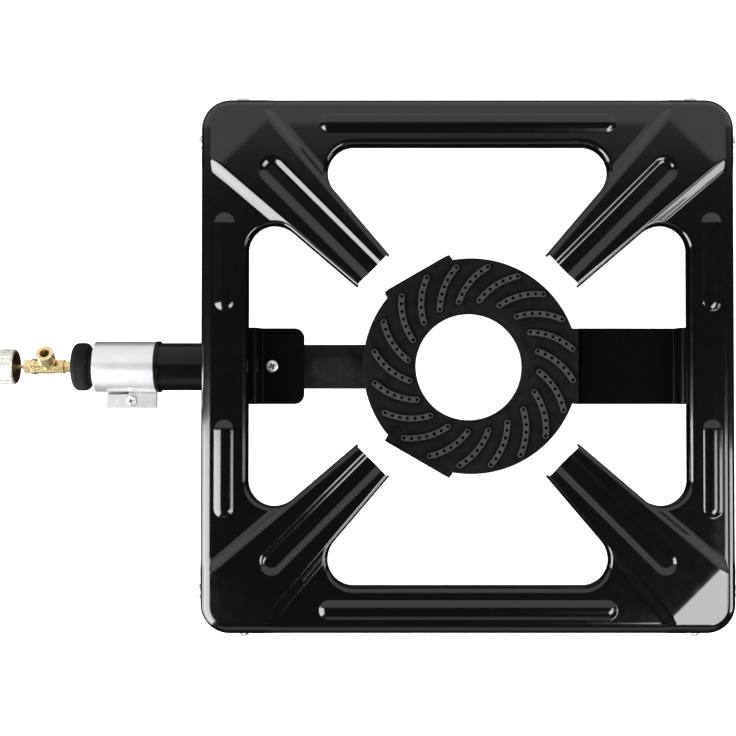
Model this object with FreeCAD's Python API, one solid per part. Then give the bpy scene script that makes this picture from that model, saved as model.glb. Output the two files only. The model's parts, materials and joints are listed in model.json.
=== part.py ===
import FreeCAD, Part
import math
import os

V = FreeCAD.Vector
UP = V(0, 0, 1)
ALONG = V(1, 0, 0)
ORIGIN = V(0, 0, 0)
ROOT2 = math.sqrt(2.0)

# Sizes in millimetres. Z is up and z = 0 is the floor. While it is modelled, x = y = 0 is the middle
# of the frame, and the gas train runs out along -X.

# Working values: how far a cutter runs past a face, and how near an edge lies to be picked
overlap = 1.0
near = 0.01

# Pressed frame
frame_size = 400.0
corner_radius = 22.0
pot_height = 160.0
arm_rise = 6.5
sheet = 1.5
rail_width = 35.5
skirt_depth = 29.0
flange_depth = 13.0
outer_round = 10.0
inner_round = 4.0
opening_corner = 20.0

# Pot-support arms and raised corners, measured along a diagonal of the frame
arm_tip = 100.5
arm_tip_half = 16.8
arm_flare = 4.6
arm_draft = 1.5
arm_round = 2.5
stub_length = 54.5
stub_margin = 1.0
pad_run = 4.0
pad_edge = 2.0
pad_over_stub = 39.5
facet_run = 37.7
facet_slope = 8.0
arm_before_facet = 11.0
groove_before_facet = 21.5
groove_half = 9.0
groove_floor_half = 5.0
groove_depth = 2.5

# Rail beads
bead_inset = 18.5
bead_half = 7.0
bead_crown_half = 2.0
bead_height = 2.2
bead_long_end = 27.3
bead_short_end = 24.5
bead_short_from = 40.8

# Legs and their fasteners
leg_sheet = 2.0
leg_top_width = 58.0
leg_foot_width = 27.0
leg_top_gap = 3.0
foot_sheet = 2.5
leg_screw_past_corner = 8.0
leg_screw_r = 2.9
leg_screw_head_r = 5.2
leg_screw_head = 3.8
leg_nut_flats = 10.0
leg_nut_height = 5.0
leg_screw_past_nut = 1.5
hole_play = 0.2
head_slope = 0.6

# Straps that carry the burner
strap_sheet = 2.5
strap_width = 58.0
strap_bend = 1.5
strap_corner = 7.5
strap_weld_length = 18.0
strap_flange_gap = 1.5
strap_rise_gap = 4.0
inlet_joggle_gap = 6.4
inlet_strap_length = 34.0
burner_joggle_gap = 3.5
joggle_run = 3.0
neck_screw_past_joggle = 9.6
neck_screw_r = 2.5
neck_screw_head_r = 4.8
neck_screw_head = 3.2
neck_screw_grip = 4.6

# Burner ring
burner_x = 3.0
ring_r = 82.0
ring_hole_r = 42.0
neck_cover = 5.6
cap_thick = 6.0
cap_edge_round = 1.5
rib_count = 20
rib_phase = 11.0
rib_sweep = 19.4
rib_bow = 3.1
rib_half = 2.9
rib_height = 1.5
port_count = 7
port_r = 1.25
port_from_hole = 9.0
port_from_edge = 4.2
lip_wall = 2.4
lip_depth = 2.0
lip_play = 0.05
pad_count = 3
pad_half = 28.5
pad_depth = 30.0
bowl_rim_wall = 3.0
bowl_wall = 5.0
bowl_inner_wall = 4.0
bowl_rim_depth = 12.0
bowl_floor_in = 12.0
bowl_knee_in = 5.0
bowl_knee = 10.0
bowl_below_neck = 1.5
column_r = 5.0
column_after_rib = (0, 7, 13)
cap_screw_r = 2.0
cap_screw_head_r = 3.8
cap_screw_head = 3.0
cap_screw_grip = 4.0
strap_screw_y = 16.0
strap_screw_drop = 18.0
strap_screw_r = 2.5
strap_screw_head_r = 4.8
strap_screw_head = 3.2
strap_screw_grip = 9.0
strap_boss_r = 7.0
strap_boss_end = 3.0

# Neck, mixing tube and mixer head
tube_clear = 0.8
tube_r = 18.5
tube_wall = 2.5
neck_step = 1.3
neck_under_rail = 7.5
spigot_length = 24.0
spigot_wall = 3.0
fit_play = 0.03
neck_boss_r = 7.0
neck_boss_rise = 2.0
collar_from_frame = 37.6
collar_length = 2.6
collar_r = 20.0
tube_under_sleeve = 28.0
sleeve_sheet = 1.2
sleeve_play = 0.05
sleeve_end_gap = 0.3
sleeve_length = 46.9
air_gap = 4.6
bell_length = 12.9
bell_r = 18.7
bell_round = 4.5
bell_wall = 6.0
mixer_neck_step = 1.3
mixer_wall = 2.7
mixer_spigot_length = 8.0
window_count = 3
window_length = 13.0
window_angle = 76.0
tab_gap = 2.0
tab_width = 12.5
tab_setback = 7.9
tab_slit = 17.4
tab_slit_width = 1.8
tab_screw_edge = 5.7
tab_screw_r = 1.9
tab_screw_head_r = 3.6
tab_screw_head = 2.4
tab_nut_flats = 7.0
tab_nut_height = 3.2
tab_screw_past_nut = 1.0

# Injector and valve
jet_flats = 8.6
jet_hex_length = 7.6
jet_thread_r = 4.0
jet_nose_r = 3.0
jet_nose_tip_r = 1.6
jet_nose_length = 9.0
jet_hole_r = 0.5
jet_bore_r = 1.8
jet_tip_wall = 2.0
jet_stub_r = 3.0
jet_stub_length = 5.0
valve_outlet_flats = 10.5
valve_outlet_length = 6.8
valve_barrel_r = 5.5
valve_barrel_length = 15.3
valve_collar_r = 6.2
valve_collar_length = 3.0
valve_bore_r = 3.05
valve_seat_r = 1.3
valve_seat_length = 2.0
valve_nose_r = 4.4
valve_nose_length = 3.6
branch_back = 4.9
branch_tilt = 32.0
branch_r = 6.58
branch_root_r = 4.9
branch_root = 4.5
branch_thread = 9.5
branch_cone = 5.0
branch_bore_r = 3.7
gland_flats = 10.8
gland_length = 5.6
gland_wall = 1.4
spindle_r = 1.6
spindle_play = 0.06
spindle_screw_length = 5.0
gas_room = 6.0
needle_length = 3.2
needle_tip_r = 0.4
needle_clear = 0.08
ring_wire_r = 0.55
ring_bite = 0.05
ring_side_play = 0.35
ring_land = 1.0
knob_gap = 7.0
knob_r = 13.8
knob_depth = 12.3
knob_face = 2.5
knob_wall = 2.2
knob_hub_r = 4.4
knob_hub_short = 1.5
knob_flutes = 24
knob_flute_r = 1.0
knob_bevel = 1.2
knob_screw_r = 0.8
knob_screw_head_r = 2.0
knob_screw_head = 1.4
knob_screw_grip = 5.0
knob_screw_end_gap = 1.0

# Heights and places that follow from the sizes above
frame_half = frame_size / 2
rail_top = pot_height - arm_rise
skirt_bottom = rail_top - skirt_depth
flange_bottom = rail_top - flange_depth
rail_inner = frame_half - rail_width
skirt_inner = frame_half - sheet
bead_line = frame_half - bead_inset
corner_place = ROOT2 * frame_half - (ROOT2 - 1) * corner_radius
facet_start = corner_place - facet_run
arm_root = facet_start - arm_before_facet
groove_end = facet_start - groove_before_facet
flare = math.tan(math.radians(arm_flare))
tube_bore_r = tube_r - tube_wall
neck_r = tube_r - neck_step
neck_bore_r = tube_bore_r - spigot_wall
mixer_neck_r = tube_bore_r - mixer_neck_step
mixer_bore_r = mixer_neck_r - mixer_wall
axis_z = skirt_bottom - tube_clear - tube_r
neck_top = axis_z + neck_r
joint_z = neck_top + neck_cover
plate_top = joint_z + cap_thick
bowl_bottom = axis_z - neck_r - bowl_below_neck
bowl_floor_r = ring_r - bowl_floor_in
bowl_knee_r = ring_r - bowl_knee_in
column_ring_r = (ring_r + ring_hole_r) / 2
port_from_r = ring_hole_r + port_from_hole
port_to_r = ring_r - port_from_edge
boss_top = neck_top + neck_boss_rise
strap_high = flange_bottom - strap_flange_gap - strap_sheet
strap_weld = rail_top - sheet - strap_sheet
strap_rise = rail_inner + sheet + strap_rise_gap
inlet_joggle = inlet_joggle_gap - rail_inner
inlet_strap_end = inlet_joggle + inlet_strap_length
neck_screw_x = inlet_joggle + neck_screw_past_joggle
neck_end = -rail_inner - neck_under_rail
burner_joggle = rail_inner - burner_joggle_gap
collar_right = -frame_half - collar_from_frame
collar_left = collar_right - collar_length
sleeve_right = collar_left - sleeve_end_gap
sleeve_left = sleeve_right - sleeve_length
sleeve_bore_r = tube_r + sleeve_play
sleeve_r = sleeve_bore_r + sleeve_sheet
tab_left = sleeve_left + tab_setback
tab_reach = sleeve_r + tab_width
tab_screw_x = (tab_left + sleeve_right) / 2
tab_screw_y = tab_screw_edge - tab_reach
bell_right = sleeve_left - air_gap
bell_left = bell_right - bell_length
tube_left = collar_left - tube_under_sleeve
jet_left = bell_left - jet_hex_length
outlet_left = jet_left - valve_outlet_length
barrel_left = outlet_left - valve_barrel_length
valve_left = barrel_left - valve_collar_length
branch_reach = branch_root + branch_cone + branch_thread
gland_left = valve_left - gland_length
knob_right = gland_left - knob_gap
knob_left = knob_right - knob_depth
footprint_x = (knob_left + frame_half + leg_screw_head) / 2


def save(shape, name):
    """Write one node, with the origin moved to the middle of the whole footprint."""
    shape.translate(V(-footprint_x, 0, 0))
    shape.exportStep("parts/" + name + ".step")


def box(x0, x1, y0, y1, z0, z1):
    return Part.makeBox(x1 - x0, y1 - y0, z1 - z0, V(x0, y0, z0))


def rod(radius, x0, x1):
    """Cylinder on the gas axis between two x places."""
    return Part.makeCylinder(radius, x1 - x0, V(x0, 0, axis_z), ALONG)


def taper(r0, r1, x0, x1):
    """Cone on the gas axis, r0 at x0 and r1 at x1."""
    return Part.makeCone(r0, r1, x1 - x0, V(x0, 0, axis_z), ALONG)


def post(radius, x, y, z0, z1):
    return Part.makeCylinder(radius, z1 - z0, V(x, y, z0), UP)


def polar(radius, angle, z=0):
    return V(radius * math.cos(math.radians(angle)), radius * math.sin(math.radians(angle)), z)


def hexagon(flats, height):
    """Hexagonal prism standing on the XY plane."""
    corners = [polar(flats / math.sqrt(3.0), 60 * k) for k in range(7)]
    return Part.Face(Part.makePolygon(corners)).extrude(V(0, 0, height))


def hexagon_x(flats, x0, x1):
    """Hexagonal prism on the gas axis."""
    shape = hexagon(flats, x1 - x0)
    shape.rotate(ORIGIN, V(0, 1, 0), 90)
    shape.translate(V(x0, 0, axis_z))
    return shape


def fuse_all(shapes):
    return shapes[0].multiFuse(shapes[1:]).removeSplitter()


def lies_at(edge, z):
    """True where the ends of an edge are at height z."""
    return all(abs(v.Z - z) < near for v in edge.Vertexes)


def round_edges(block, middles, radius):
    """Fillet the edges whose middles are at the given places."""
    picked = [e for e in block.Edges if any((e.CenterOfMass - m).Length < near for m in middles)]
    return block.makeFillet(radius, picked)


def turned(shape, angle):
    copy = shape.copy()
    copy.rotate(ORIGIN, UP, angle)
    return copy


def rounded_square(half, radius, height, z):
    block = box(-half, half, -half, half, z, z + height)
    upright = [e for e in block.Edges if abs(e.Vertexes[0].Z - e.Vertexes[1].Z) > height / 2]
    return block.makeFillet(radius, upright)


def slot_wire(x0, x1, half, z):
    """Closed outline with round ends around the points x0 and x1 of the X axis."""
    top = Part.makeLine(V(x1, half, z), V(x0, half, z))
    left = Part.Arc(V(x0, half, z), V(x0 - half, 0, z), V(x0, -half, z)).toShape()
    low = Part.makeLine(V(x0, -half, z), V(x1, -half, z))
    right = Part.Arc(V(x1, -half, z), V(x1 + half, 0, z), V(x1, half, z)).toShape()
    return Part.Wire([top, left, low, right])


def slot_solid(x0, x1, half_low, z_low, half_high, z_high):
    wires = [slot_wire(x0, x1, half_low, z_low), slot_wire(x0, x1, half_high, z_high)]
    return Part.makeLoft(wires, True, True)


def diagonal(u, v, z):
    """Point u along the diagonal of the +X+Y quarter and v across it."""
    return V((u - v) / ROOT2, (u + v) / ROOT2, z)


def arm_half(u, shift):
    return arm_tip_half + (u - arm_tip) * flare + shift


def arm_meets_side(half, shift):
    """Place along the diagonal where an arm edge meets the straight line at half."""
    return (ROOT2 * half - arm_half(0, shift)) / (1 + flare)


def opening_solid(inset, z0, z1):
    """Free space inside the rails, with round corners beside the arm roots."""
    half = rail_inner + inset
    shift = -stub_margin - inset
    u_side = arm_meets_side(half, shift)
    stub_tip = arm_meets_side(rail_inner, 0) - stub_length
    points = []
    for k in range(4):
        for u, side in ((u_side, -1), (stub_tip, -1), (stub_tip, 1), (u_side, 1)):
            point = diagonal(u, side * arm_half(u, shift), z0)
            points.append(FreeCAD.Rotation(UP, 90 * k).multVec(point))
    block = Part.Face(Part.makePolygon(points + points[:1])).extrude(V(0, 0, z1 - z0))
    corners = []
    for edge in block.Edges:
        a, b = edge.Vertexes[0].Point, edge.Vertexes[1].Point
        if abs(a.z - b.z) > (z1 - z0) / 2 and max(abs(a.x), abs(a.y)) > half - overlap / 2:
            corners.append(edge)
    return block.makeFillet(opening_corner + inset, corners)


def rail_solid(inset, z0):
    """Four rails as one block ring with rounded top edges."""
    top = rail_top - inset
    block = rounded_square(frame_half - inset, corner_radius - inset, top - z0, z0)
    ring = block.cut(opening_solid(inset, z0 - overlap, top + overlap))
    middle = frame_half - rail_width / 2
    outside = []
    inside = []
    for edge in ring.Edges:
        centre = edge.valueAt((edge.FirstParameter + edge.LastParameter) / 2)
        if lies_at(edge, top):
            rim = outside if max(abs(centre.x), abs(centre.y)) > middle else inside
            rim.append(edge.CenterOfMass)
    ring = round_edges(ring, outside, outer_round - inset)
    return round_edges(ring, inside, inner_round - inset)


def arm_solid(inset):
    """Free arm as a block with sloped sides; the tip is a plain cut."""
    past = overlap if inset else 0
    u0 = arm_tip - past
    wires = []
    for z in (flange_bottom - past, pot_height - inset):
        shift = (pot_height - z) * math.tan(math.radians(arm_draft)) - inset
        points = []
        for u, side in ((u0, -1), (arm_root, -1), (arm_root, 1), (u0, 1)):
            points.append(diagonal(u, side * arm_half(u, shift), z))
        wires.append(Part.makePolygon(points + points[:1]))
    block = Part.makeLoft(wires, True, True)
    least = (arm_root - arm_tip) / 2
    crown = [e for e in block.Edges if lies_at(e, pot_height - inset) and e.Length > least]
    return block.makeFillet(arm_round - inset / 2, crown)


def pad_wire(z, inset):
    """Outline of the raised corner at one height."""
    slope = pad_run / arm_rise
    skin = inset * math.hypot(1, slope)
    lower = (pot_height - inset - z) * slope
    shift = lower - inset - (skin - inset) / 2
    half = frame_half - pad_edge - pad_run + min(lower, pad_run + slope) - skin
    radius = corner_radius - pad_edge - pad_run
    pad_start = arm_meets_side(rail_inner, 0) - pad_over_stub
    u_side = arm_meets_side(half, shift)
    right_low = diagonal(pad_start, -arm_half(pad_start, shift), z)
    right_high = diagonal(u_side, -arm_half(u_side, shift), z)
    left_low = diagonal(pad_start, arm_half(pad_start, shift), z)
    left_high = diagonal(u_side, arm_half(u_side, shift), z)
    arc_right = V(half, half - radius, z)
    arc_left = V(half - radius, half, z)
    bulge = half - radius + radius / ROOT2
    edges = [Part.makeLine(right_low, right_high), Part.makeLine(right_high, arc_right)]
    edges.append(Part.Arc(arc_right, V(bulge, bulge, z), arc_left).toShape())
    edges += [Part.makeLine(arc_left, left_high), Part.makeLine(left_high, left_low)]
    edges.append(Part.makeLine(left_low, right_low))
    return Part.Wire(edges)


def pad_solid(inset):
    """Raised corner with sloped sides, kept to the rails."""
    low = rail_top - inset - outer_round
    block = Part.makeLoft([pad_wire(low, inset), pad_wire(pot_height - inset, inset)], True, True)
    return block.cut(opening_solid(inset, low - overlap, pot_height + overlap))


def facet_block(inset):
    """Space above the sloped outer corner."""
    tilt = math.radians(facet_slope)
    normal = V(math.sin(tilt) / ROOT2, math.sin(tilt) / ROOT2, math.cos(tilt))
    block = box(-frame_half, frame_half, -frame_half, frame_half, 0, frame_half)
    block.Placement = FreeCAD.Placement(
        diagonal(facet_start, 0, pot_height - inset / math.cos(tilt)), FreeCAD.Rotation(UP, normal)
    )
    return block


def groove_solid(inset):
    """Recess along an arm, open at the tip."""
    slope = (groove_half - groove_floor_half) / groove_depth
    floor = pot_height - groove_depth - inset
    low = groove_floor_half + inset
    high = low + slope * (groove_depth + overlap)
    start = arm_tip - 2 * groove_half
    block = slot_solid(start, groove_end - groove_half, low, floor, high, floor + groove_depth + overlap)
    return turned(block, 45)


def bead_limit(gap):
    """End of a bead that stops short of the foot of the raised corner."""
    foot = (ROOT2 * bead_line - arm_half(0, pad_run)) / (1 + flare)
    return ROOT2 * foot - bead_line - gap


def bead_solid(x0, x1, inset):
    """Raised bead on the rail along the +Y side."""
    slope = (bead_half - bead_crown_half) / bead_height
    crown = rail_top + bead_height - inset
    high = bead_crown_half - inset / 2
    low = high + slope * (bead_height + overlap)
    block = slot_solid(x0 + bead_half, x1 - bead_half, low, crown - bead_height - overlap, high, crown)
    block.translate(V(0, bead_line, 0))
    return block


def frame_form(inset):
    """Block inside the skin of the pressing, moved inwards by inset."""
    z0 = skirt_bottom - (overlap if inset else 0)
    corner = arm_solid(inset).fuse(pad_solid(inset)).cut(facet_block(inset)).cut(groove_solid(inset))
    long_end = bead_limit(bead_long_end)
    short_end = bead_limit(bead_short_end)
    long_bead = bead_solid(-long_end, long_end, inset)
    short_beads = [
        bead_solid(bead_short_from, short_end, inset),
        bead_solid(-short_end, -bead_short_from, inset),
    ]
    pieces = [turned(corner, 90 * k) for k in range(4)]
    pieces += [turned(long_bead, angle) for angle in (0, 180)]
    pieces += [turned(bead, angle) for angle in (90, 270) for bead in short_beads]
    return rail_solid(inset, z0).multiFuse(pieces)


def leg_screw_places():
    """Outer skirt points of the leg screws with their inward directions."""
    z = (skirt_bottom + rail_top - outer_round) / 2
    along = frame_half - corner_radius - leg_screw_past_corner
    places = []
    for sx in (-1, 1):
        for sy in (-1, 1):
            places.append((V(sx * frame_half, sy * along, z), V(-sx, 0, 0)))
            places.append((V(sx * along, sy * frame_half, z), V(0, -sy, 0)))
    return places


def leg_holes():
    depth = sheet + leg_sheet + 2 * overlap
    holes = []
    for point, inward in leg_screw_places():
        holes.append(Part.makeCylinder(leg_screw_r + hole_play, depth, point - inward * overlap, inward))
    return Part.makeCompound(holes)


def top_frame():
    """Pressed frame: skin between two forms, with the inner flange trimmed shorter than the skirt."""
    shell = frame_form(0).cut(frame_form(sheet))
    low = skirt_bottom - overlap
    trim = rounded_square(frame_half - rail_width / 2, corner_radius, flange_bottom - low, low)
    return shell.cut(trim).cut(leg_holes())


def leg(sx, sy):
    """Pressed angle leg inside one corner of the skirt, with a closed foot."""
    top = rail_top - outer_round - leg_top_gap
    outer = rounded_square(skirt_inner, corner_radius, top, 0)
    inner = rounded_square(skirt_inner - leg_sheet, corner_radius - leg_sheet, top, foot_sheet)
    wires = []
    for z, width in ((0, leg_foot_width), (skirt_bottom, leg_top_width), (top, leg_top_width)):
        corner = V(skirt_inner - width, skirt_inner - width, z)
        wires.append(Part.makePlane(width, width, corner).OuterWire)
    low = Part.makeLoft(wires[:2], True, True)
    high = Part.makeLoft(wires[1:], True, True)
    shape = outer.cut(inner).common(low.fuse(high))
    quarter = {(1, 1): 0, (-1, 1): 90, (-1, -1): 180, (1, -1): 270}[(sx, sy)]
    return turned(shape, quarter).cut(leg_holes())


def pan_screw(radius, head_r, head, grip):
    """Pan-head screw standing head up, with the head's seat at z = 0."""
    cap = post(head_r, 0, 0, 0, head)
    rim = [e for e in cap.Edges if e.Closed and lies_at(e, head)]
    return cap.makeChamfer(head * head_slope, rim).fuse(post(radius, 0, 0, -grip, 0))


def leg_screws():
    screws = []
    grip = sheet + leg_sheet + leg_nut_height + leg_screw_past_nut
    for point, inward in leg_screw_places():
        screw = pan_screw(leg_screw_r, leg_screw_head_r, leg_screw_head, grip)
        screw.Placement = FreeCAD.Placement(point, FreeCAD.Rotation(UP, -inward))
        screws.append(screw)
    return Part.makeCompound(screws)


def leg_nuts():
    nuts = []
    for point, inward in leg_screw_places():
        nut = hexagon(leg_nut_flats, leg_nut_height)
        nut = nut.cut(post(leg_screw_r + fit_play, 0, 0, -overlap, leg_nut_height + overlap))
        seat = point + inward * (sheet + leg_sheet)
        nut.Placement = FreeCAD.Placement(seat, FreeCAD.Rotation(UP, inward))
        nuts.append(nut)
    return Part.makeCompound(nuts)


def strap(points):
    """Bent sheet along (x, z) places of one side, thickened to the left, with rounded bends."""
    line = [V(x, 0, z) for x, z in points]
    steps = [(b - a).normalize() for a, b in zip(line, line[1:])]
    lefts = [V(-step.z, 0, step.x) for step in steps]
    other = []
    for point, a, b in zip(line, lefts[:1] + lefts, lefts + lefts[-1:]):
        across = a + b
        other.append(point + across * (2 * strap_sheet / across.dot(across)))
    outline = line + other[::-1]
    block = Part.Face(Part.makePolygon(outline + outline[:1])).extrude(V(0, strap_width, 0))
    block.translate(V(0, -strap_width / 2, 0))
    inside = []
    outside = []
    for i in range(1, len(steps)):
        left_turn = steps[i - 1].x * steps[i].z > steps[i - 1].z * steps[i].x
        inside.append(other[i] if left_turn else line[i])
        outside.append(line[i] if left_turn else other[i])
    block = round_edges(block, inside, strap_bend)
    return round_edges(block, outside, strap_bend + strap_sheet)


def inlet_strap():
    """Strap from under the left rail to the boss on the burner neck."""
    block = strap([
        (-strap_rise - strap_weld_length, strap_weld),
        (-strap_rise, strap_weld),
        (-strap_rise, strap_high),
        (inlet_joggle - joggle_run, strap_high),
        (inlet_joggle, boss_top),
        (inlet_strap_end, boss_top),
    ])
    corners = [V(inlet_strap_end, side * strap_width / 2, boss_top + strap_sheet / 2) for side in (-1, 1)]
    block = round_edges(block, corners, strap_corner)
    return block.cut(post(neck_screw_r + hole_play, neck_screw_x, 0, axis_z, rail_top))


def strap_screw_places():
    z = joint_z - strap_screw_drop
    return [(y, z) for y in (-strap_screw_y, strap_screw_y)]


def burner_strap():
    """Strap from under the right rail to the flat pad of the burner ring."""
    face = burner_x + ring_r
    deck = neck_top - strap_sheet / 2
    block = strap([
        (face + strap_sheet, joint_z - pad_depth),
        (face + strap_sheet, deck),
        (burner_joggle, deck),
        (burner_joggle + joggle_run, strap_high),
        (strap_rise, strap_high),
        (strap_rise, strap_weld),
        (strap_rise + strap_weld_length, strap_weld),
    ])
    for y, z in strap_screw_places():
        start = V(face - overlap, y, z)
        block = block.cut(Part.makeCylinder(strap_screw_r + hole_play, 4 * strap_sheet, start, ALONG))
    return block


def neck_screw():
    screw = pan_screw(neck_screw_r, neck_screw_head_r, neck_screw_head, strap_sheet + neck_screw_grip)
    screw.translate(V(neck_screw_x, 0, boss_top + strap_sheet))
    return screw


def strap_screws():
    screws = []
    grip = strap_sheet + strap_screw_grip
    for y, z in strap_screw_places():
        screw = pan_screw(strap_screw_r, strap_screw_head_r, strap_screw_head, grip)
        screw.rotate(ORIGIN, V(0, 1, 0), 90)
        screw.translate(V(burner_x + ring_r + strap_sheet, y, z))
        screws.append(screw)
    return Part.makeCompound(screws)


def rib_path():
    """Centre, radius and end angles of one swirl rib."""
    a = polar(port_from_r, rib_phase)
    b = polar(port_to_r, rib_phase - rib_sweep)
    chord = b - a
    side = V(-chord.y, chord.x, 0).normalize()
    radius = (chord.Length ** 2 / 4 + rib_bow ** 2) / (2 * rib_bow)
    centre = (a + b) * 0.5 + side * (rib_bow - radius)
    start = math.atan2(a.y - centre.y, a.x - centre.x)
    end = math.atan2(b.y - centre.y, b.x - centre.x)
    return centre, radius, start, end


def rib_point(path, part, offset=0.0):
    centre, radius, start, end = path
    angle = start + (end - start) * part
    return centre + V(math.cos(angle), math.sin(angle), 0) * (radius + offset)


def rib_solid(path):
    """Curved rib with round ends, standing on the cap's top face."""
    half = rib_half
    a_out, a_in = rib_point(path, 0, half), rib_point(path, 0, -half)
    b_out, b_in = rib_point(path, 1, half), rib_point(path, 1, -half)
    tangent_a = (rib_point(path, 0) - rib_point(path, near)).normalize()
    tangent_b = (rib_point(path, 1) - rib_point(path, 1 - near)).normalize()
    edges = [
        Part.Arc(a_out, rib_point(path, 0.5, half), b_out).toShape(),
        Part.Arc(b_out, rib_point(path, 1) + tangent_b * half, b_in).toShape(),
        Part.Arc(b_in, rib_point(path, 0.5, -half), a_in).toShape(),
        Part.Arc(a_in, rib_point(path, 0) + tangent_a * half, a_out).toShape(),
    ]
    block = Part.Face(Part.Wire(edges)).extrude(V(0, 0, rib_height + overlap))
    block.translate(V(0, 0, plate_top - overlap))
    return block


def ring_pads(z0, z1):
    """Square pads round the ring, their flats touching the ring's circle."""
    block = box(0, ring_r, -pad_half, pad_half, z0, z1)
    return [turned(block, 360 / pad_count * k) for k in range(pad_count)]


def column_places():
    step = 360 / rib_count
    middle = rib_phase - rib_sweep * (column_ring_r - port_from_r) / (port_to_r - port_from_r)
    return [polar(column_ring_r, middle + step * (k + 0.5)) for k in column_after_rib]


def burner_cap():
    """Port ring: flat cast plate with swirl ribs and ports."""
    plate = fuse_all([post(ring_r, 0, 0, joint_z, plate_top)] + ring_pads(joint_z, plate_top))
    plate = plate.cut(post(ring_hole_r, 0, 0, joint_z - overlap, plate_top + overlap))
    rim = [e for e in plate.Edges if lies_at(e, plate_top)]
    plate = plate.makeFillet(cap_edge_round, rim)
    lip_r = ring_hole_r + bowl_inner_wall + lip_play
    lip = post(lip_r + lip_wall, 0, 0, joint_z - lip_depth, joint_z + overlap)
    lip = lip.cut(post(lip_r, 0, 0, joint_z - lip_depth - overlap, joint_z + 2 * overlap))
    path = rib_path()
    rib = rib_solid(path)
    ribs = []
    ports = []
    for k in range(rib_count):
        angle = 360 / rib_count * k
        ribs.append(turned(rib, angle))
        for n in range(port_count):
            place = rib_point(path, n / (port_count - 1))
            port = post(port_r, place.x, place.y, joint_z - overlap, plate_top + rib_height + overlap)
            ports.append(turned(port, angle))
    cap = plate.multiFuse([lip] + ribs).cut(Part.makeCompound(ports))
    holes = []
    tap_end = joint_z + cap_screw_grip + fit_play
    for place in column_places():
        holes.append(post(cap_screw_r + fit_play, place.x, place.y, joint_z - overlap, tap_end))
    cap = cap.cut(Part.makeCompound(holes))
    cap.translate(V(burner_x, 0, 0))
    return cap


def ring_of(profile):
    """Solid of revolution of (radius, z) places round the burner axis."""
    points = [V(r, 0, z) for r, z in profile]
    return Part.Face(Part.makePolygon(points + points[:1])).revolve(ORIGIN, UP, 360)


def burner_bowl():
    """Cast gas chamber with its neck, pads, screw columns and strap boss."""
    knee = bowl_bottom + bowl_knee
    rim = joint_z - bowl_rim_depth
    skin = [(0, bowl_bottom), (bowl_floor_r, bowl_bottom), (bowl_knee_r, knee)]
    skin += [(ring_r, rim), (ring_r, joint_z), (0, joint_z)]
    body = ring_of(skin)
    neck_run = -burner_x
    neck = rod(neck_r, neck_end + neck_run, 0)
    spigot = rod(tube_bore_r - fit_play, neck_end + neck_run - spigot_length, 0)
    boss = post(neck_boss_r, neck_screw_x + neck_run, 0, axis_z, boss_top)
    body = body.multiFuse(ring_pads(joint_z - pad_depth, joint_z) + [neck, spigot, boss])
    inner = ring_hole_r + bowl_inner_wall
    chamber = [(inner, bowl_bottom + bowl_wall), (bowl_floor_r - bowl_wall / 2, bowl_bottom + bowl_wall)]
    chamber += [(bowl_knee_r - bowl_wall, knee), (ring_r - bowl_rim_wall, rim)]
    chamber += [(ring_r - bowl_rim_wall, joint_z + overlap), (inner, joint_z + overlap)]
    body = body.cut(ring_of(chamber))
    bore = rod(neck_bore_r, neck_end + neck_run - spigot_length - overlap, -inner - bowl_wall)
    body = body.cut(bore)
    extra = [post(column_r, p.x, p.y, bowl_bottom, joint_z) for p in column_places()]
    cuts = [post(ring_hole_r, 0, 0, bowl_bottom - overlap, joint_z + overlap)]
    for p in column_places():
        cuts.append(post(cap_screw_r + hole_play, p.x, p.y, bowl_bottom - overlap, joint_z + overlap))
    depth = strap_screw_grip + strap_boss_end
    tap = strap_screw_grip + fit_play
    for y, z in strap_screw_places():
        extra.append(Part.makeCylinder(strap_boss_r, depth, V(ring_r - depth, y, z), ALONG))
        tapped = V(ring_r - tap, y, z)
        cuts.append(Part.makeCylinder(strap_screw_r + fit_play, tap + overlap, tapped, ALONG))
    tap_end = boss_top - neck_screw_grip - fit_play
    cuts.append(post(neck_screw_r + fit_play, neck_screw_x + neck_run, 0, tap_end, boss_top + overlap))
    body = body.multiFuse(extra).cut(Part.makeCompound(cuts))
    body.translate(V(burner_x, 0, 0))
    return body


def cap_screws():
    screws = []
    length = joint_z - bowl_bottom + cap_screw_grip
    for place in column_places():
        screw = pan_screw(cap_screw_r, cap_screw_head_r, cap_screw_head, length)
        screw.rotate(ORIGIN, ALONG, 180)
        screw.translate(V(place.x + burner_x, place.y, bowl_bottom))
        screws.append(screw)
    return Part.makeCompound(screws)


def mixing_tube():
    tube = rod(tube_r, tube_left, neck_end).fuse(rod(collar_r, collar_left, collar_right))
    return tube.cut(rod(tube_bore_r, tube_left - overlap, neck_end + overlap))


def mixer_head():
    """Casting with the bell, the narrow neck with its air windows, and a spigot in the tube."""
    bell = rod(bell_r, bell_left, bell_right)
    bell = bell.makeFillet(bell_round, [e for e in bell.Edges if e.Closed])
    spigot_end = tube_left + mixer_spigot_length
    neck = rod(mixer_neck_r, bell_right - overlap, tube_left)
    spigot = rod(tube_bore_r - fit_play, tube_left, spigot_end)
    body = fuse_all([bell, neck, spigot])
    body = body.cut(rod(mixer_bore_r, bell_left + bell_wall, spigot_end + overlap))
    body = body.cut(rod(jet_thread_r + fit_play, bell_left - overlap, bell_right))
    middle = (bell_right + tube_left) / 2
    start = V(middle - window_length / 2, 0, 0)
    window = Part.makeCylinder(mixer_neck_r + overlap, window_length, start, ALONG, window_angle)
    for k in range(window_count):
        cutter = window.copy()
        cutter.rotate(ORIGIN, ALONG, 360 / window_count * k)
        cutter.translate(V(0, 0, axis_z))
        body = body.cut(cutter)
    return body


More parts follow.
